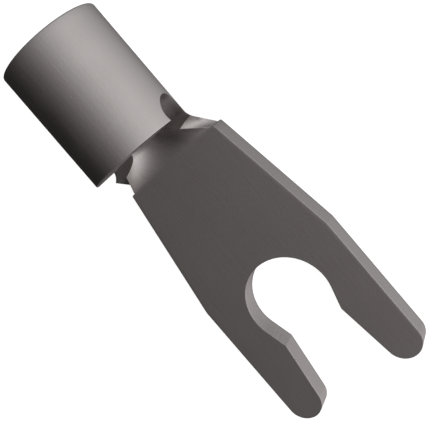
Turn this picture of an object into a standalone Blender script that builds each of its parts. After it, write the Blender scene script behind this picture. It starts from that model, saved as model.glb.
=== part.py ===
# Fork terminal for crimping to a wire: a rolled barrel, a neck that opens out, and a forked tongue.
# It is one strip of sheet metal. Units are metres, +Z is up and +X runs from the barrel to the fork.
# The origin is at the middle of the underside.

import math
import bmesh
import bpy
from mathutils import Matrix, Vector

for old in list(bpy.data.objects):
    bpy.data.objects.remove(old, do_unlink=True)

MM = 0.001

# Sheet and barrel
SHEET_THICKNESS = 0.90 * MM
BARREL_DIAMETER = 4.00 * MM
BARREL_LENGTH = 4.82 * MM
MOUTH_CHAMFER = 0.20 * MM
REAR_EDGE_RADIUS = 0.06 * MM

# Grip grooves turned into the bore, which bite the strands when the barrel is crimped
GROOVE_COUNT = 3
GROOVE_FIRST = 1.30 * MM
GROOVE_PITCH = 0.90 * MM
GROOVE_WIDTH = 0.30 * MM
GROOVE_DEPTH = 0.10 * MM

# Round relief holes, one on each side, that free the barrel's front from the neck
RELIEF_DIAMETER = 1.36 * MM
RELIEF_SETBACK = 0.22 * MM
RELIEF_DROP = 0.04 * MM

# Neck: the lower part of the barrel's wall opens out evenly into the flat tongue
NECK_LENGTH = 0.94 * MM
NECK_WIDTH = 4.06 * MM
NECK_WRAP = math.radians(172.5)

# Tongue and fork
TONGUE_REAR_WIDTH = 4.33 * MM
TAPER_LENGTH = 5.14 * MM
FORK_WIDTH = 6.06 * MM
SLOT_DIAMETER = 3.32 * MM
SLOT_SETBACK = 1.40 * MM
LIP_HEIGHT = 0.315 * MM
LIP_ANGLE = math.radians(16.4)
TIP_RADIUS = 0.68 * MM
TIP_REACH = 3.50 * MM
SHOULDER_RADIUS = 0.50 * MM
CORNER_RADIUS = 0.05 * MM
EDGE_RADIUS = 0.02 * MM

# Fineness of the round stretches
BARREL_FACETS = 96
ARC_STEP = math.radians(5.0)
NECK_STEPS = 8
CORNER_STEPS = 3

# Places along the strip, measured from the barrel's rear
BARREL_RADIUS = BARREL_DIAMETER / 2
BORE_RADIUS = BARREL_RADIUS - SHEET_THICKNESS
TONGUE_START = BARREL_LENGTH + NECK_LENGTH
SHOULDER = TONGUE_START + TAPER_LENGTH
SLOT_CENTER = SHOULDER + SLOT_SETBACK
TIP_CENTER = SLOT_CENTER + TIP_REACH
OVERALL_LENGTH = TIP_CENTER + TIP_RADIUS
REAR_X = -OVERALL_LENGTH / 2


def new_collection(name):
    collection = bpy.data.collections.new(name)
    bpy.context.scene.collection.children.link(collection)
    return collection


def tin_plate():
    """Dull tin plate over copper, a warm grey."""
    material = bpy.data.materials.new("tin_plate")
    material.use_nodes = True
    shader = material.node_tree.nodes["Principled BSDF"]
    shader.inputs["Base Color"].default_value = (0.46, 0.44, 0.42, 1.0)
    shader.inputs["Metallic"].default_value = 1.0
    shader.inputs["Roughness"].default_value = 0.38
    return material


def arc_points(center, radius, start, end):
    """Points along an arc, both ends included, no further apart than ARC_STEP."""
    steps = max(2, math.ceil(abs(end - start) / ARC_STEP))
    angles = [start + (end - start) * i / steps for i in range(steps + 1)]
    return [(center[0] + radius * math.cos(a), center[1] + radius * math.sin(a)) for a in angles]


def rounded_corner(before, corner, after, radius):
    """Points of the arc that touches both lines at a corner, from the first line to the second."""
    corner = Vector(corner)
    back = (Vector(before) - corner).normalized()
    ahead = (Vector(after) - corner).normalized()
    half = back.angle(ahead) / 2
    center = corner + (back + ahead).normalized() * radius / math.sin(half)
    first = corner + back * radius / math.tan(half) - center
    last = corner + ahead * radius / math.tan(half) - center
    start = math.atan2(first.y, first.x)
    turn = math.atan2(first.cross(last), first.dot(last))
    angles = [start + turn * i / CORNER_STEPS for i in range(CORNER_STEPS + 1)]
    return [(center.x + radius * math.cos(a), center.y + radius * math.sin(a)) for a in angles]


def baked_mesh(obj, name):
    """The object's evaluated mesh in world space, with its doubled points joined."""
    depsgraph = bpy.context.evaluated_depsgraph_get()
    mesh = bpy.data.meshes.new_from_object(obj.evaluated_get(depsgraph))
    mesh.name = name
    mesh.transform(obj.matrix_world)
    work = bmesh.new()
    work.from_mesh(mesh)
    bmesh.ops.remove_doubles(work, verts=work.verts, dist=1e-7)
    bmesh.ops.recalc_face_normals(work, faces=work.faces)
    work.to_mesh(mesh)
    work.free()
    return mesh


def barrel_profile():
    """Closed section of the barrel's wall as (radius, height) with the barrel standing on its rear end."""
    corner = (BARREL_RADIUS - REAR_EDGE_RADIUS, REAR_EDGE_RADIUS)
    outer = [(BARREL_RADIUS, BARREL_LENGTH)]
    outer += arc_points(corner, REAR_EDGE_RADIUS, 0.0, -math.pi / 2)
    inner = [(BORE_RADIUS + MOUTH_CHAMFER, 0.0), (BORE_RADIUS, MOUTH_CHAMFER)]
    flank = GROOVE_WIDTH / 4
    for i in range(GROOVE_COUNT):
        near = GROOVE_FIRST + i * GROOVE_PITCH
        far = near + GROOVE_WIDTH
        inner += [
            (BORE_RADIUS, near),
            (BORE_RADIUS + GROOVE_DEPTH, near + flank),
            (BORE_RADIUS + GROOVE_DEPTH, far - flank),
            (BORE_RADIUS, far),
        ]
    return outer + inner + [(BORE_RADIUS, BARREL_LENGTH)]


def turned_barrel():
    """The barrel's section turned about its axis and laid along +X, its front end facing the fork."""
    profile = barrel_profile()
    mesh = bpy.data.meshes.new("barrel_profile")
    mesh.from_pydata(
        [(radius, 0.0, height) for radius, height in profile],
        [(i, (i + 1) % len(profile)) for i in range(len(profile))],
        [],
    )
    obj = bpy.data.objects.new("barrel_profile", mesh)
    parts.objects.link(obj)
    screw = obj.modifiers.new("turn", "SCREW")
    screw.axis = "Z"
    screw.steps = BARREL_FACETS
    screw.render_steps = BARREL_FACETS
    screw.use_merge_vertices = True
    screw.merge_threshold = 1e-7
    obj.matrix_world = Matrix.Translation((REAR_X, 0.0, BARREL_RADIUS)) @ Matrix.Rotation(math.pi / 2, 4, "Y")
    bpy.context.view_layer.update()
    barrel = baked_mesh(obj, "barrel")
    bpy.data.objects.remove(obj)
    return barrel


def neck_point(share, turn, outside):
    """A point of the neck: share runs from barrel to tongue, turn from one cut edge (-1) to the other (1)."""
    radius, flat_height = (BARREL_RADIUS, 0.0) if outside else (BORE_RADIUS, SHEET_THICKNESS)
    angle = turn * NECK_WRAP / 2
    rolled = Vector((radius * math.sin(angle), BARREL_RADIUS - radius * math.cos(angle)))
    flat = Vector((turn * NECK_WIDTH / 2, flat_height))
    y, z = rolled.lerp(flat, share)
    return Vector((REAR_X + BARREL_LENGTH + share * NECK_LENGTH, y, z))


def grow_neck(mesh):
    """Carry the lower part of the barrel's front end forward, opening it out into a flat strip."""
    work = bmesh.new()
    work.from_mesh(mesh)
    turn = work.verts.layers.float.new("turn")
    outside = work.verts.layers.int.new("outside")
    front_x = REAR_X + BARREL_LENGTH
    wall_middle = (BARREL_RADIUS + BORE_RADIUS) / 2

    def angle_of(point):
        return math.atan2(point.y, BARREL_RADIUS - point.z)

    def on_strip(face):
        center = face.calc_center_median()
        return abs(center.x - front_x) < 1e-6 and abs(angle_of(center)) < NECK_WRAP / 2

    strip = [face for face in work.faces if on_strip(face)]
    corners = {vert for face in strip for vert in face.verts}
    reach = max(abs(angle_of(vert.co)) for vert in corners)
    for vert in corners:
        vert[turn] = angle_of(vert.co) / reach
        vert[outside] = math.hypot(vert.co.y, vert.co.z - BARREL_RADIUS) > wall_middle

    def push_out(faces):
        made = bmesh.ops.extrude_face_region(work, geom=faces)["geom"]
        bmesh.ops.delete(work, geom=faces, context="FACES")
        end_faces = [item for item in made if isinstance(item, bmesh.types.BMFace)]
        return end_faces, [item for item in made if isinstance(item, bmesh.types.BMVert)]

    for step in range(1, NECK_STEPS + 1):
        strip, verts = push_out(strip)
        for vert in verts:
            vert.co = neck_point(step / NECK_STEPS, vert[turn], vert[outside])

    # The flat end runs on into the tongue, so that the two become one piece of metal.
    strip, verts = push_out(strip)
    for vert in verts:
        vert.co.x += SHEET_THICKNESS / 2
    bmesh.ops.recalc_face_normals(work, faces=work.faces)
    work.to_mesh(mesh)
    work.free()


def half_outline():
    """The tongue's +Y edge, from its rear corner round the tip and back along the slot to its rear end."""
    slot_radius = SLOT_DIAMETER / 2
    throat_y = slot_radius - LIP_HEIGHT
    lip_length = (slot_radius * math.cos(LIP_ANGLE) - throat_y) / math.sin(LIP_ANGLE)
    throat_x = SLOT_CENTER + slot_radius * math.sin(LIP_ANGLE) + lip_length * math.cos(LIP_ANGLE)
    tip_y = FORK_WIDTH / 2 - TIP_RADIUS
    to_throat = (throat_x - TIP_CENTER, throat_y - tip_y)
    spread = math.acos(TIP_RADIUS / math.hypot(*to_throat))
    tip_end = math.atan2(to_throat[1], to_throat[0]) + spread
    rear_corner = (TONGUE_START, TONGUE_REAR_WIDTH / 2)
    shoulder = (SHOULDER, FORK_WIDTH / 2)
    outer_tip = arc_points((TIP_CENTER, tip_y), TIP_RADIUS, math.pi / 2, 0.0)
    inner_tip = arc_points((TIP_CENTER, tip_y), TIP_RADIUS, 0.0, tip_end)
    slot = arc_points((SLOT_CENTER, 0.0), slot_radius, math.pi / 2 - LIP_ANGLE, math.pi)
    outline = rounded_corner((TONGUE_START, 0.0), rear_corner, shoulder, CORNER_RADIUS)
    outline += rounded_corner(rear_corner, shoulder, outer_tip[0], SHOULDER_RADIUS)
    outline += outer_tip + inner_tip[1:]
    outline += rounded_corner(inner_tip[-1], (throat_x, throat_y), slot[0], CORNER_RADIUS)
    return outline + slot


def tongue_plate():
    """The forked tongue as a flat plate with lightly rounded edges."""
    upper = half_outline()
    lower = [(x, -y) for x, y in reversed(upper[:-1])]
    outline = upper + lower
    curve = bpy.data.curves.new("tongue_outline", "CURVE")
    curve.dimensions = "2D"
    curve.fill_mode = "BOTH"
    curve.extrude = SHEET_THICKNESS / 2 - EDGE_RADIUS
    curve.bevel_depth = EDGE_RADIUS
    curve.bevel_resolution = 1
    curve.offset = -EDGE_RADIUS
    spline = curve.splines.new("POLY")
    spline.points.add(len(outline) - 1)
    for point, (x, y) in zip(spline.points, outline):
        point.co = (x, y, 0.0, 1.0)
    spline.use_cyclic_u = True
    obj = bpy.data.objects.new("tongue_outline", curve)
    obj.location = (REAR_X, 0.0, SHEET_THICKNESS / 2)
    parts.objects.link(obj)
    bpy.context.view_layer.update()
    mesh = baked_mesh(obj, "tongue")
    for vert in mesh.vertices:
        for face_height in (0.0, SHEET_THICKNESS):
            if abs(vert.co.z - face_height) < 1e-6:
                vert.co.z = face_height
    bpy.data.objects.remove(obj)
    return mesh


def tool_object(name, mesh):
    """A hidden shape that is joined to the terminal or cut out of it."""
    obj = bpy.data.objects.new(name, mesh)
    tools.objects.link(obj)
    obj.display_type = "WIRE"
    obj.hide_render = True
    return obj


def relief_cutter():
    """A pin across the barrel that pierces both sides of its front end."""
    work = bmesh.new()
    bmesh.ops.create_cone(
        work,
        cap_ends=True,
        segments=round(2 * math.pi / ARC_STEP),
        radius1=RELIEF_DIAMETER / 2,
        radius2=RELIEF_DIAMETER / 2,
        depth=1.5 * BARREL_DIAMETER,
    )
    center = (REAR_X + BARREL_LENGTH - RELIEF_SETBACK, 0.0, BARREL_RADIUS - RELIEF_DROP)
    work.transform(Matrix.Translation(center) @ Matrix.Rotation(math.pi / 2, 4, "X"))
    mesh = bpy.data.meshes.new("relief")
    work.to_mesh(mesh)
    work.free()
    return tool_object("relief", mesh)


def add_boolean(obj, operation, tool):
    modifier = obj.modifiers.new(tool.name, "BOOLEAN")
    modifier.operation = operation
    modifier.solver = "EXACT"
    modifier.object = tool


parts = new_collection("fork_terminal")
tools = new_collection("tools")

body = turned_barrel()
grow_neck(body)
terminal = bpy.data.objects.new("fork_terminal", body)
parts.objects.link(terminal)
add_boolean(terminal, "UNION", tool_object("tongue", tongue_plate()))
add_boolean(terminal, "DIFFERENCE", relief_cutter())

body.materials.clear()
body.materials.append(tin_plate())
body.shade_smooth()
body.set_sharp_from_angle(angle=math.radians(30.0))
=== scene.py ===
# Fork terminal for crimping to a wire, in dull tin plate.
# The sheet is one closed surface, worked out with numpy

import math

import bmesh
import bpy
import numpy as np
from mathutils import Matrix, Vector


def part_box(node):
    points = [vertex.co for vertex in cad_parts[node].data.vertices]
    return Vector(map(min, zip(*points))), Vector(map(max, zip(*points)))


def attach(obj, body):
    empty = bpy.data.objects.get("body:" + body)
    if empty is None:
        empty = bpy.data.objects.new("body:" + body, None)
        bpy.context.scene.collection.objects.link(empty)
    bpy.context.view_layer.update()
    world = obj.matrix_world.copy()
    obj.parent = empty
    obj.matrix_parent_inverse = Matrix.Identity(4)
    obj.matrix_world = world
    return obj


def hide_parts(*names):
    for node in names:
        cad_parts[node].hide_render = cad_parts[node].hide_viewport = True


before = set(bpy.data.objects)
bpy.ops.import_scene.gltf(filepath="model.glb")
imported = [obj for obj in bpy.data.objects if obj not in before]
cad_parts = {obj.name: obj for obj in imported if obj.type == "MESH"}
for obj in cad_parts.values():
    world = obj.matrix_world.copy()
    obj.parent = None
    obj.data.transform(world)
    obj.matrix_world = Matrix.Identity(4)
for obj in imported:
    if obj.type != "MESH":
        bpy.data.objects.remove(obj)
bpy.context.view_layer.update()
print("Frame loaded")

mm = 0.001

# Real sizes in millimetres. x runs from the barrel's rear end to the fork's tips. A groove's flank is a share
# of its width. Points nearer than mergeGap are one point, and edges bent past sharpAngle are shaded sharp
terminal = {
    "name": "terminal",
    "sheet": 0.90,
    "barrelRadius": 2.00,
    "barrelLength": 4.82,
    "rearRound": 0.06,
    "mouthChamfer": 0.20,
    "mouthRound": 0.04,
    "grooves": 3,
    "grooveStart": 1.30,
    "groovePitch": 0.90,
    "grooveWidth": 0.30,
    "grooveDepth": 0.10,
    "grooveFlank": 0.25,
    "holeRadius": 0.68,
    "holeSetback": 0.22,
    "holeDrop": 0.04,
    "neckLength": 0.94,
    "neckWidth": 4.06,
    "neckWrap": math.radians(172.5),
    "bendLength": 0.14,
    "tongueWidth": 4.33,
    "taperLength": 5.14,
    "forkWidth": 6.06,
    "slotRadius": 1.66,
    "slotSetback": 1.40,
    "lipHeight": 0.315,
    "lipAngle": math.radians(16.4),
    "tipRadius": 0.68,
    "tipReach": 3.50,
    "cornerRound": 0.05,
    "shoulderRound": 0.50,
    "edgeRound": 0.012,
    "mergeGap": 0.0001,
    "sharpAngle": math.radians(38.0),
}

# How many steps each stretch of the surface gets, and how often the search for the crease halves its range
steps = {
    "lip": 32,
    "holeTop": 18,
    "holeFoot": 26,
    "neck": 18,
    "across": 32,
    "round": 5,
    "wall": 5,
    "corner": 4,
    "shoulder": 8,
    "taper": 20,
    "slot": 40,
    "tine": 22,
    "tip": 16,
    "tube": 16,
    "halvings": 40,
}


def lerp(start, end, share):
    # The start plus a share of the way to the end
    return start + (end - start) * share


def rampArea(share):
    # Area so far under a ramp that is 0 before the neck, rises evenly along it and is 1 after it
    return np.clip(share, 0.0, 1.0) ** 2 / 2.0 + np.maximum(share - 1.0, 0.0)


def openedAt(x):
    # 0 where the sheet is rolled and 1 where it is flat: the ramp averaged over a bend's length, so that no
    # bend is sharp
    share = (x - terminal["barrelLength"]) / terminal["neckLength"]
    half = terminal["bendLength"] / terminal["neckLength"] / 2.0
    return (rampArea(share + half) - rampArea(share - half)) / (2.0 * half)


def sheetPoint(x, turn, side, opened):
    # A point of the metal: turn is 0 along the underside's middle and 1 at the neck's cut edge, side is 0 on
    # the outer skin and 1 on the inner one. A ring of that radius is mixed with a flat strip at that height
    radius = terminal["barrelRadius"] - side * terminal["sheet"]
    angle = turn * terminal["neckWrap"] / 2.0
    y = lerp(radius * np.sin(angle), turn * terminal["neckWidth"] / 2.0, opened)
    z = lerp(terminal["barrelRadius"] - radius * np.cos(angle), side * terminal["sheet"], opened)
    return np.stack(np.broadcast_arrays(x, y, z), axis=-1)


def turnAtHeight(z, side, opened):
    # The turn whose point lies at height z: the mix is undone, and the angle's cosine is how far the ring's
    # own height lies under the barrel's axis, over the radius
    radius = terminal["barrelRadius"] - side * terminal["sheet"]
    rolledZ = (z - opened * side * terminal["sheet"]) / (1.0 - opened)
    cosine = np.clip((terminal["barrelRadius"] - rolledZ) / radius, -1.0, 1.0)
    return np.arccos(cosine) / (terminal["neckWrap"] / 2.0)


def neckEdgeTurn(x, inset, side):
    # Turn of the neck's edge, drawn in by an inset: 1 less the inset over the millimetres that a turn covers
    radius = terminal["barrelRadius"] - side * terminal["sheet"]
    reach = lerp(radius * terminal["neckWrap"] / 2.0, terminal["neckWidth"] / 2.0, openedAt(x))
    return 1.0 - inset / reach


def holePoint(around, inset):
    # x and height on the relief hole's circle, widened by an inset. The hole runs straight across the barrel
    radius = terminal["holeRadius"] + inset
    x = terminal["barrelLength"] - terminal["holeSetback"] + radius * np.cos(around)
    z = terminal["barrelRadius"] - terminal["holeDrop"] + radius * np.sin(around)
    return x, z


def creaseAngle(inset, side):
    # Where the hole's circle meets the neck's edge, found by halving the quarter circle that it lies in
    low = np.full(np.broadcast(inset, side).shape, 1.5 * math.pi)
    high = np.full(low.shape, 2.0 * math.pi)
    for halving in range(steps["halvings"]):
        middle = (low + high) / 2.0
        x, z = holePoint(middle, inset)
        inMetal = turnAtHeight(z, side, openedAt(x)) < neckEdgeTurn(x, inset, side)
        low = np.where(inMetal, middle, low)
        high = np.where(inMetal, high, middle)
    return low


def shares(count):
    # count even shares from 0, with 1 left out
    return np.arange(count) / count


def alongLine(start, end, count):
    # count points from start, the end left out
    return lerp(np.array([start]), np.array([end]), shares(count)[:, None])


def alongArc(center, radius, start, end, count):
    # count points round an arc from its start angle, the end left out
    angle = lerp(start, end, shares(count))
    return np.stack([center[0] + radius * np.cos(angle), center[1] + radius * np.sin(angle)], axis=-1)


def roundCorner(before, corner, after, radius, count):
    # count + 1 points of the arc that touches both lines at a corner: its centre lies on the line that halves
    # the angle between them
    before, corner, after = np.array(before), np.array(corner), np.array(after)
    back = (before - corner) / np.linalg.norm(before - corner)
    ahead = (after - corner) / np.linalg.norm(after - corner)
    halfAngle = math.acos(float(back @ ahead)) / 2.0
    middle = (back + ahead) / np.linalg.norm(back + ahead)
    center = corner + middle * radius / math.sin(halfAngle)
    first = corner + back * radius / math.tan(halfAngle) - center
    last = corner + ahead * radius / math.tan(halfAngle) - center
    spread = math.pi - 2.0 * halfAngle
    share = np.arange(count + 1)[:, None] / count
    weights = np.sin((1.0 - share) * spread), np.sin(share * spread)
    return center + (weights[0] * first + weights[1] * last) / math.sin(spread)


def forkOutline():
    # The +Y half of the tongue's edge: the step's corner at the neck, the outer run from there to the tip's
    # front, and the inner run from the slot's bottom on the middle line round to the same point
    t = terminal
    rearX = t["barrelLength"] + t["neckLength"]
    shoulderX = rearX + t["taperLength"]
    slotX = shoulderX + t["slotSetback"]
    tipX = slotX + t["tipReach"]
    tipY = t["forkWidth"] / 2.0 - t["tipRadius"]
    lipStart = (
        slotX + t["slotRadius"] * math.sin(t["lipAngle"]),
        t["slotRadius"] * math.cos(t["lipAngle"]),
    )
    throatY = t["slotRadius"] - t["lipHeight"]
    lipLength = (lipStart[1] - throatY) / math.sin(t["lipAngle"])
    throat = (lipStart[0] + lipLength * math.cos(t["lipAngle"]), throatY)
    toThroat = (throat[0] - tipX, throat[1] - tipY)
    tipEnd = math.atan2(toThroat[1], toThroat[0]) + math.acos(t["tipRadius"] / math.hypot(*toThroat))
    tineEnd = (tipX + t["tipRadius"] * math.cos(tipEnd), tipY + t["tipRadius"] * math.sin(tipEnd))

    rearCorner = (rearX, t["tongueWidth"] / 2.0)
    shoulder = (shoulderX, t["forkWidth"] / 2.0)
    tipStart = (tipX, t["forkWidth"] / 2.0)
    step = (rearX, t["neckWidth"] / 2.0)
    rearArc = roundCorner(step, rearCorner, shoulder, t["cornerRound"], steps["corner"])
    shoulderArc = roundCorner(rearCorner, shoulder, tipStart, t["shoulderRound"], steps["shoulder"])
    throatArc = roundCorner(lipStart, throat, tineEnd, t["cornerRound"], steps["corner"])
    tipFront = np.array([[tipX + t["tipRadius"], tipY]])

    innerCount = steps["corner"] + steps["slot"] + steps["tine"] + steps["corner"]
    outer = np.vstack([
        rearArc[:-1],
        alongLine(rearArc[-1], shoulderArc[0], steps["taper"]),
        shoulderArc[:-1],
        alongLine(shoulderArc[-1], tipStart, innerCount),
        alongArc((tipX, tipY), t["tipRadius"], math.pi / 2.0, 0.0, steps["tip"]),
        tipFront,
    ])
    slotEnd = math.pi / 2.0 - t["lipAngle"]
    inner = np.vstack([
        alongArc((slotX, 0.0), t["slotRadius"], math.pi, slotEnd, steps["slot"]),
        alongLine(lipStart, throatArc[0], steps["corner"]),
        throatArc[:-1],
        alongLine(throatArc[-1], tineEnd, steps["tine"]),
        alongArc((tipX, tipY), t["tipRadius"], tipEnd, 0.0, steps["tip"]),
        tipFront,
    ])
    return np.array([step]), outer, inner


def cutOutline():
    # The whole +Y edge from the neck's step to the slot's bottom, and how far each point moves for each
    # millimetre of inset: the two edges' inward normals added, over 1 plus their dot product
    step, outer, inner = forkOutline()
    path = np.vstack([step, outer, inner[-2::-1]])
    before = step - [1.0, 0.0]
    after = path[-2:-1] * [1.0, -1.0]
    along = np.diff(np.vstack([before, path, after]), axis=0)
    along /= np.linalg.norm(along, axis=1, keepdims=True)
    normal = along[:, ::-1] * [1.0, -1.0]
    inward = (normal[:-1] + normal[1:]) / (1.0 + np.sum(normal[:-1] * normal[1:], axis=1, keepdims=True))
    return path, inward


def edgePath(inset, side):
    # x, turn and openness along the +Y half of the cut edge, drawn in by an inset, at one depth of the sheet:
    # over the barrel's lip, back round the relief hole's top, forward along its foot, then along the neck's
    # edge and round the fork
    top = math.pi / (terminal["neckWrap"] / 2.0)
    lipX = terminal["barrelLength"] - inset
    holeX = terminal["barrelLength"] - terminal["holeSetback"]
    lipAngle = np.arccos((lipX - holeX) / (terminal["holeRadius"] + inset))
    lipTurn = turnAtHeight(holePoint(lipAngle, inset)[1], side, 0.0)
    overLip = lerp(top, lipTurn, shares(steps["lip"]))

    topX, topZ = holePoint(lerp(lipAngle, math.pi, shares(steps["holeTop"])), inset)
    footX, footZ = holePoint(lerp(math.pi, creaseAngle(inset, side), shares(steps["holeFoot"])), inset)
    creaseX = holePoint(creaseAngle(inset, side), inset)[0]
    tongueX = terminal["barrelLength"] + terminal["neckLength"] + inset
    neckX = lerp(creaseX, tongueX, shares(steps["neck"]))
    path, inward = cutOutline()
    forkX = path[:, 0] + inset * inward[:, 0]
    forkTurn = (path[:, 1] + inset * inward[:, 1]) / (terminal["neckWidth"] / 2.0)

    x = [lipX + 0.0 * overLip, topX, footX, neckX, forkX]
    turn = [
        overLip,
        turnAtHeight(topZ, side, 0.0),
        turnAtHeight(footZ, side, openedAt(footX)),
        neckEdgeTurn(neckX, inset, side),
        forkTurn,
    ]
    opened = [0.0 * overLip, 0.0 * topX, openedAt(footX), openedAt(neckX), openedAt(forkX)]
    return [np.concatenate(runs, axis=1) for runs in (x, turn, opened)]


class Skin:
    # Collects grids of points, each a surface with two parameters, and makes one mesh of them
    def __init__(self):
        self.points = []
        self.faces = []
        self.marks = []
        self.count = 0

    def addGrid(self, points, along=0.0, depth=0.0, cut=0.0):
        # A grid's quads join each point to the next in its row and in its column. The numbers are stacked
        # with the marks only to give those the grid's shape
        rows, columns = points.shape[:2]
        numbers = self.count + np.arange(rows * columns).reshape(rows, columns)
        corners = numbers[:-1, :-1], numbers[1:, :-1], numbers[1:, 1:], numbers[:-1, 1:]
        self.faces.append(np.stack(corners, axis=-1).reshape(-1, 4))
        self.points.append(points.reshape(-1, 3))
        marks = np.stack(np.broadcast_arrays(along, depth, cut, numbers)[:3], axis=-1)
        self.marks.append(marks.reshape(-1, 3))
        self.count += rows * columns

    def addBoth(self, points, **marks):
        # The grid and its mirror image across the middle plane
        self.addGrid(points, **marks)
        self.addGrid(points * [1.0, -1.0, 1.0], **marks)

    def makeMesh(self, name):
        # Of the marks, along and depth become the mesh's map, and cut becomes an attribute of its points
        points = np.concatenate(self.points)
        faces = np.concatenate(self.faces)
        marks = np.concatenate(self.marks)
        mesh = bpy.data.meshes.new(name)
        mesh.from_pydata(points, [], faces)
        uv = mesh.uv_layers.new(name="cutMap")
        uv.data.foreach_set("uv", marks[faces.ravel(), :2].ravel())
        cut = mesh.attributes.new("cut", "FLOAT", "POINT")
        cut.data.foreach_set("value", marks[:, 2])
        return mesh


def addCutEdge(skin):
    # Across the edge: a quarter circle from the outer skin, the straight wall, and a quarter circle to the
    # inner skin
    rounding = terminal["edgeRound"]
    angle = np.linspace(0.0, math.pi / 2.0, steps["round"] + 1)
    inset = rounding * (1.0 - np.sin(angle))
    depth = rounding * (1.0 - np.cos(angle))
    wallDepth = np.linspace(rounding, terminal["sheet"] - rounding, steps["wall"] + 1)[1:-1]
    insets = np.concatenate([inset, 0.0 * wallDepth, inset[::-1]])[:, None]
    depths = np.concatenate([depth, wallDepth, terminal["sheet"] - depth[::-1]])[:, None]
    x, turn, opened = edgePath(insets, depths / terminal["sheet"])
    points = sheetPoint(x, turn, depths / terminal["sheet"], opened)
    stretch = np.linalg.norm(np.diff(points[len(points) // 2], axis=0), axis=-1)
    along = np.concatenate([[0.0], np.cumsum(stretch)])
    skin.addBoth(points, along=along, depth=depths, cut=1.0 - insets / rounding)


def addSkins(skin, side):
    # One side of the sheet, out to where its edge starts to round
    t = terminal
    x, turn, opened = edgePath(np.array([[t["edgeRound"]]]), np.array([[side]]))
    holeRear = steps["lip"] + steps["holeTop"]
    tongueRear = holeRear + steps["holeFoot"] + steps["neck"]
    top = math.pi / (t["neckWrap"] / 2.0)
    across = np.linspace(-1.0, 1.0, 2 * steps["across"] + 1)

    # Over the hole: from one hole's arc to the other's, over the barrel's top
    rows = slice(steps["lip"], holeRear + 1)
    overTop = np.linspace(0.0, 1.0, 2 * steps["lip"] + 1)
    turns = lerp(turn[0, rows, None], 2.0 * top - turn[0, rows, None], overTop)
    skin.addGrid(sheetPoint(x[0, rows, None], turns, side, 0.0))
    ringTop = turns[-1]

    # Under the hole: the trough and the neck, from one edge to the other
    rows = slice(holeRear, tongueRear + 1)
    turns = turn[0, rows, None] * across
    skin.addGrid(sheetPoint(x[0, rows, None], turns, side, opened[0, rows, None]))
    ring = np.concatenate([turns[0], ringTop[1:]])

    # Tongue: lines across each half, from its middle line and slot to its outer edge
    outerCount = len(forkOutline()[1])
    outer = slice(tongueRear + 1, tongueRear + 1 + outerCount)
    outerX, outerTurn = x[0, outer], turn[0, outer]
    innerX, innerTurn = x[0, outer.stop - 1:][::-1], turn[0, outer.stop - 1:][::-1]
    middle = lerp(x[0, tongueRear], innerX[0], shares(outerCount - len(innerX)))
    innerX = np.concatenate([middle, innerX])
    innerTurn = np.concatenate([0.0 * middle, innerTurn])
    lines = np.append(across[steps["across"]:] * turn[0, tongueRear] / outerTurn[0], 1.0)
    rowX = lerp(innerX[:, None], outerX[:, None], lines)
    skin.addBoth(sheetPoint(rowX, lerp(innerTurn[:, None], outerTurn[:, None], lines), side, openedAt(rowX)))
    return x[0, holeRear], ring


def mouthProfile(frontX):
    # The barrel's section from the relief holes back to its rear end and in again along the bore: (x, radius)
    t = terminal
    bore = t["barrelRadius"] - t["sheet"]
    rear = t["rearRound"]
    face = (0.0, bore + t["mouthChamfer"])
    inside = (t["mouthChamfer"], bore)
    outerCorner = (rear, t["barrelRadius"] - rear)
    faceArc = roundCorner((0.0, outerCorner[1]), face, inside, t["mouthRound"], steps["corner"])
    boreArc = roundCorner(face, inside, (t["grooveStart"], bore), t["mouthRound"], steps["corner"])
    flank = t["grooveFlank"]
    groove = np.array([[0.0, 0.0], [flank, 1.0], [1.0 - flank, 1.0], [1.0, 0.0]])
    groove = groove * [t["grooveWidth"], t["grooveDepth"]]
    starts = t["grooveStart"] + t["groovePitch"] * np.arange(t["grooves"])
    grooves = groove + np.stack([starts, np.full(t["grooves"], bore)], axis=-1)[:, None, :]
    profile = np.vstack([
        alongLine((frontX, t["barrelRadius"]), (rear, t["barrelRadius"]), steps["tube"]),
        alongArc(outerCorner, rear, math.pi / 2.0, math.pi, steps["round"]),
        alongLine((0.0, outerCorner[1]), faceArc[0], steps["wall"]),
        faceArc,
        boreArc,
        grooves.reshape(-1, 2),
        [[frontX, bore]],
    ])
    return profile[:, 0], profile[:, 1]


def addTube(skin, frontX, outerRing, innerRing):
    # The section carried round the barrel's axis. Its lines start where the outer skin's end, and end where
    # the inner skin's do
    x, radius = mouthProfile(frontX)
    share = (terminal["barrelRadius"] - radius) / terminal["sheet"]
    turn = lerp(outerRing, innerRing, np.clip(share, 0.0, 1.0)[:, None])
    skin.addGrid(sheetPoint(x[:, None], turn, share[:, None], 0.0))


def makeTerminal(rearX):
    # The grids' borders hold the same points, so the surface closes when those are merged
    skin = Skin()
    addCutEdge(skin)
    frontX, outerRing = addSkins(skin, 0.0)
    frontX, innerRing = addSkins(skin, 1.0)
    addTube(skin, frontX, outerRing, innerRing)
    mesh = skin.makeMesh(terminal["name"])
    mesh.transform(Matrix.Translation((rearX, 0.0, 0.0)) @ Matrix.Scale(mm, 4))
    work = bmesh.new()
    work.from_mesh(mesh)
    bmesh.ops.remove_doubles(work, verts=work.verts, dist=terminal["mergeGap"] * mm)
    bmesh.ops.recalc_face_normals(work, faces=work.faces)
    openEdges = sum(not edge.is_manifold for edge in work.edges)
    work.to_mesh(mesh)
    work.free()
    mesh.shade_smooth()
    mesh.set_sharp_from_angle(angle=terminal["sharpAngle"])
    piece = bpy.data.objects.new(terminal["name"], mesh)
    bpy.context.scene.collection.objects.link(piece)
    weighted = piece.modifiers.new("faceWeights", "WEIGHTED_NORMAL")
    weighted.keep_sharp = True
    print("Terminal:", len(mesh.polygons), "faces,", openEdges, "open edges")
    return piece


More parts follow.
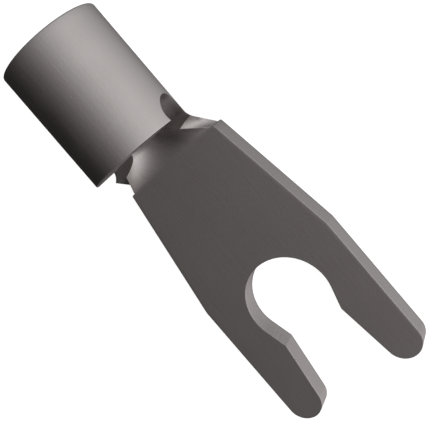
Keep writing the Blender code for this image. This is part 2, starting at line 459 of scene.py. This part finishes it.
class Wire:
    # One output of a shader node. Arithmetic on it adds Math nodes, and node() adds any other node
    def __init__(self, tree, socket=None):
        self.tree = tree
        self.socket = socket

    def node(self, kind, settings=None, inputs=None, output=0):
        made = self.tree.nodes.new(kind)
        for key, value in (settings or {}).items():
            setattr(made, key, value)
        for key, value in (inputs or {}).items():
            if isinstance(value, Wire):
                self.tree.links.new(value.socket, made.inputs[key])
            else:
                made.inputs[key].default_value = value
        return None if output is None else Wire(self.tree, made.outputs[output])

    def maths(self, operation, first, second=0.0):
        return self.node("ShaderNodeMath", {"operation": operation}, {0: first, 1: second})

    def __add__(self, other):
        return self.maths("ADD", self, other)

    def __radd__(self, other):
        return self.maths("ADD", other, self)

    def __sub__(self, other):
        return self.maths("SUBTRACT", self, other)

    def __rsub__(self, other):
        return self.maths("SUBTRACT", other, self)

    def __mul__(self, other):
        return self.maths("MULTIPLY", self, other)

    def __rmul__(self, other):
        return self.maths("MULTIPLY", other, self)

    def __pow__(self, other):
        return self.maths("POWER", self, other)

    def __rpow__(self, other):
        return self.maths("POWER", other, self)


# Dull tin over copper, in millimetres. A pitch is how far apart marks lie, a length how long they are, a
# height how deep they go, and a detail how many finer layers a noise has. Past the land the metal tears, from
# tornStart to tornFull, and a break is breakRatio times as long along the edge as through the sheet
tinPlate = {
    "name": "tin_plate",
    "tint": (0.652, 0.615, 0.604, 1.0),
    # The darker tint, for thin tin in the clouds and for the cut edge, where it is partly painted shade
    "thinAndShadeTint": (0.528, 0.496, 0.486, 1.0),
    "roughness": 0.40,
    "cloudPitch": 1.4,
    "cloudDetail": 2.0,
    "thinShare": 0.08,
    "cloudTone": 0.32,
    "cloudRoughness": 0.12,
    "grainPitch": 0.07,
    "grainDetail": 1.0,
    "grainHeight": 0.003,
    "grainRoughness": 0.14,
    "linePitch": 0.09,
    "lineLength": 3.2,
    "lineDetail": 2.0,
    "lineHeight": 0.0025,
    "lineRoughness": 0.08,
    "landDepth": 0.30,
    "landWaver": 0.16,
    "waverPitch": 0.5,
    "waverDetail": 3.0,
    "landRoughness": -0.05,
    "tornStart": -0.02,
    "tornFull": 0.03,
    "streakPitch": 0.06,
    "streakLength": 2.0,
    "streakDetail": 2.0,
    "streakHeight": 0.006,
    "breakPitch": 0.10,
    "breakRatio": 0.6,
    "breakDetail": 3.0,
    "breakHeight": 0.010,
    "breakRoughness": 0.06,
    # The cut edge's darkening: partly thinner tin, partly painted shade on the sheet's sides
    "cutTone": 0.80,
}


def makeTinPlate():
    # Fine grain and slow clouds lie everywhere. Lines left by the rolling mill run along the two skins. On
    # the cut edge a smooth land, streaked by the die, comes first, and past a wavering depth it is torn
    look = tinPlate
    material = bpy.data.materials.new(look["name"])
    material.use_nodes = True
    material.node_tree.nodes.clear()
    start = Wire(material.node_tree)

    def scaled(vector, amounts):
        return start.node("ShaderNodeVectorMath", {"operation": "MULTIPLY"}, {0: vector, 1: amounts})

    def noise(vector, detail):
        # Noise about zero, near -0.3 to 0.3
        sockets = {"Vector": vector, "Scale": 1.0, "Detail": detail}
        return start.node("ShaderNodeTexNoise", inputs=sockets) - 0.5

    place = start.node("ShaderNodeTexCoord", output="Object")
    cloud = noise(scaled(place, (1.0 / (look["cloudPitch"] * mm),) * 3), look["cloudDetail"])
    grain = noise(scaled(place, (1.0 / (look["grainPitch"] * mm),) * 3), look["grainDetail"])
    across = 1.0 / (look["linePitch"] * mm)
    lines = noise(scaled(place, (1.0 / (look["lineLength"] * mm), across, across)), look["lineDetail"])

    cut = start.node("ShaderNodeAttribute", {"attribute_name": "cut"}, output="Fac")
    # The cut edge's map holds millimetres: x along the edge, y through the sheet from its outer skin
    edgeMap = start.node("ShaderNodeUVMap", {"uv_map": "cutMap"})
    depth = start.node("ShaderNodeSeparateXYZ", inputs={0: edgeMap}, output="Y")
    waver = noise(scaled(edgeMap, (1.0 / look["waverPitch"], 0.0, 0.0)), look["waverDetail"])
    past = depth - look["landDepth"] - waver * look["landWaver"]
    inputs = {"Value": past, "From Min": look["tornStart"], "From Max": look["tornFull"]}
    torn = start.node("ShaderNodeMapRange", {"interpolation_type": "SMOOTHSTEP"}, inputs) * cut
    land = cut - torn
    streakScale = (1.0 / look["streakPitch"], 1.0 / look["streakLength"], 0.0)
    streaks = noise(scaled(edgeMap, streakScale), look["streakDetail"])
    breakScale = (1.0 / look["breakPitch"], look["breakRatio"] / look["breakPitch"], 0.0)
    breaks = noise(scaled(edgeMap, breakScale), look["breakDetail"])

    roughness = look["roughness"] + cloud * look["cloudRoughness"] + grain * look["grainRoughness"]
    roughness = roughness + lines * (1 - cut) * look["lineRoughness"]
    roughness = roughness + land * look["landRoughness"] + torn * look["breakRoughness"]
    height = grain * look["grainHeight"] + lines * (1 - cut) * look["lineHeight"]
    height = height + streaks * cut * look["streakHeight"] + breaks * torn * look["breakHeight"]
    # Share of the darker tint: random clouds, and on the cut edge thinner tin together with painted shade
    thinAndShade = cloud * look["cloudTone"] + cut * look["cutTone"] + look["thinShare"]

    # The plate is darker in some clouds, where its tin is thin, and all along the cut edge, where the
    # darkening is partly thinner tin on the sheared metal and partly painted shade on the sheet's sides. A
    # colour Mix node takes its factor at socket 0 and its two colours at 6 and 7, and gives output 2
    tints = {0: thinAndShade, 6: look["tint"], 7: look["thinAndShadeTint"]}
    tone = start.node("ShaderNodeMix", {"data_type": "RGBA"}, tints, output=2)
    bump = start.node("ShaderNodeBump", inputs={"Strength": 1.0, "Distance": mm, "Height": height})
    inputs = {"Base Color": tone, "Metallic": 1.0, "Roughness": roughness, "Normal": bump}
    shader = start.node("ShaderNodeBsdfPrincipled", inputs=inputs)
    start.node("ShaderNodeOutputMaterial", inputs={"Surface": shader}, output=None)
    return material


# Soft light all round. Each glow is a wide patch of pale sky: its direction, its strength, and the power of
# half of (1 + cosine from its direction) by which it fades. The camera sees a plain white backdrop instead
studio = {
    "base": 0.003,
    "white": (1.0, 1.0, 1.0, 1.0),
    "warm": (1.10, 1.0, 0.985, 1.0),
    "warmReach": 0.70,
    "backdrop": 1.0,
    "glows": [
        {"toward": (0.15, 0.97, 0.20), "strength": 0.26, "power": 5.0},
        {"toward": (0.00, 0.70, 0.70), "strength": 0.38, "power": 5.0},
        {"toward": (0.00, 0.95, -0.31), "strength": 0.295, "power": 6.0},
        {"toward": (0.04, 0.48, -0.88), "strength": 0.27, "power": 10.0},
        {"toward": (0.80, 0.50, 0.20), "strength": 0.48, "power": 6.0},
        {"toward": (0.85, 0.35, -0.30), "strength": 0.45, "power": 10.0},
        {"toward": (0.78, -0.03, -0.63), "strength": 0.395, "power": 16.0},
        {"toward": (-0.80, 0.50, 0.20), "strength": 0.10, "power": 6.0},
        {"toward": (-1.00, -0.10, 0.20), "strength": 0.10, "power": 8.0},
        {"toward": (0.04, -0.46, 0.88), "strength": 0.050, "power": 12.0},
        {"toward": (0.78, -0.50, 0.05), "strength": 0.040, "power": 16.0},
        {"toward": (0.00, -0.75, -0.65), "strength": 0.010, "power": 10.0},
    ],
    "floorSize": 0.6,
    "floorShade": (0.90, 0.90, 0.90, 1.0),
    "floorRoughness": 0.9,
    "floorGlow": 0.85,
}


def makeSky(scene):
    # The base light and every glow added up. Only the camera's own rays see the backdrop instead
    world = bpy.data.worlds.new("studio")
    world.use_nodes = True
    world.node_tree.nodes.clear()
    scene.world = world
    start = Wire(world.node_tree)
    direction = start.node("ShaderNodeTexCoord", output="Generated")
    light = studio["base"]
    for glow in studio["glows"]:
        toward = Vector(glow["toward"]).normalized()
        settings = {"operation": "DOT_PRODUCT"}
        cosine = start.node("ShaderNodeVectorMath", settings, {0: direction, 1: toward}, output="Value")
        light = (0.5 + 0.5 * cosine) ** glow["power"] * glow["strength"] + light

    # The light is warmest straight from -Y, and white again at warmReach of the way from there to +Y
    towardY = start.node("ShaderNodeSeparateXYZ", inputs={0: direction}, output="Y")
    whiteFrom = 2.0 * studio["warmReach"] - 1.0
    inputs = {"Value": towardY, "From Min": -1.0, "From Max": whiteFrom, "To Min": 1.0, "To Max": 0.0}
    warmth = start.node("ShaderNodeMapRange", inputs=inputs)
    tints = {0: warmth, 6: studio["white"], 7: studio["warm"]}
    tint = start.node("ShaderNodeMix", {"data_type": "RGBA"}, tints, output=2)
    sky = start.node("ShaderNodeBackground", inputs={"Color": tint, "Strength": light})
    inputs = {"Color": studio["white"], "Strength": studio["backdrop"]}
    backdrop = start.node("ShaderNodeBackground", inputs=inputs)
    seen = start.node("ShaderNodeLightPath", output="Is Camera Ray")
    both = start.node("ShaderNodeMixShader", inputs={0: seen, 1: sky, 2: backdrop})
    start.node("ShaderNodeOutputWorld", inputs={"Surface": both}, output=None)


def makeFloor(scene):
    # A square of white card under the terminal, which isn't mirrored in the metal
    half = studio["floorSize"] / 2.0
    corners = [(-half, -half, 0.0), (half, -half, 0.0), (half, half, 0.0), (-half, half, 0.0)]
    mesh = bpy.data.meshes.new("floor")
    mesh.from_pydata(corners, [], [(0, 1, 2, 3)])
    floor = bpy.data.objects.new("floor", mesh)
    scene.collection.objects.link(floor)
    material = bpy.data.materials.new("floorWhite")
    material.use_nodes = True
    shader = material.node_tree.nodes["Principled BSDF"]
    shader.inputs["Base Color"].default_value = studio["floorShade"]
    shader.inputs["Roughness"].default_value = studio["floorRoughness"]
    shader.inputs["Emission Color"].default_value = studio["white"]
    shader.inputs["Emission Strength"].default_value = studio["floorGlow"]
    mesh.materials.append(material)
    floor.visible_glossy = False


# The camera looks down on the tongue's top face, turned so that the barrel is at the picture's upper left.
# Its target and distance are in the frame's millimetres, and its clip end is in metres
camera = {
    "target": (-0.1234, 0.0298, 0.90),
    "distance": 29.929,
    "azimuth": math.radians(-5.387),
    "elevation": math.radians(62.199),
    "roll": math.radians(-135.324),
    "lens": 70.26,
    "sensor": 36.0,
    "clipEnd": 10.0,
}


def makeCamera():
    # Its place is the target plus the distance along the direction that the azimuth, from +Y towards +X, and
    # the elevation give
    flat = math.cos(camera["elevation"])
    back = Vector((
        flat * math.sin(camera["azimuth"]),
        flat * math.cos(camera["azimuth"]),
        math.sin(camera["elevation"]),
    ))
    data = bpy.data.cameras.new("camera")
    data.lens = camera["lens"]
    data.sensor_width = camera["sensor"]
    data.clip_start = mm
    data.clip_end = camera["clipEnd"]
    holder = bpy.data.objects.new("camera", data)
    bpy.context.scene.collection.objects.link(holder)
    turned = back.to_track_quat("Z", "Y").to_matrix().to_4x4()
    place = Matrix.Translation((Vector(camera["target"]) + back * camera["distance"]) * mm)
    holder.matrix_world = place @ turned @ Matrix.Rotation(camera["roll"], 4, "Z")
    bpy.context.scene.camera = holder


piece = makeTerminal(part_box("fork_terminal")[0].x)
piece.data.materials.append(makeTinPlate())
print("Tin plate laid on")
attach(piece, "root")
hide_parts("fork_terminal")
scene = bpy.context.scene
scene.view_settings.view_transform = "Standard"
makeSky(scene)
makeFloor(scene)
makeCamera()
print("Studio and camera ready")

bpy.context.view_layer.update()
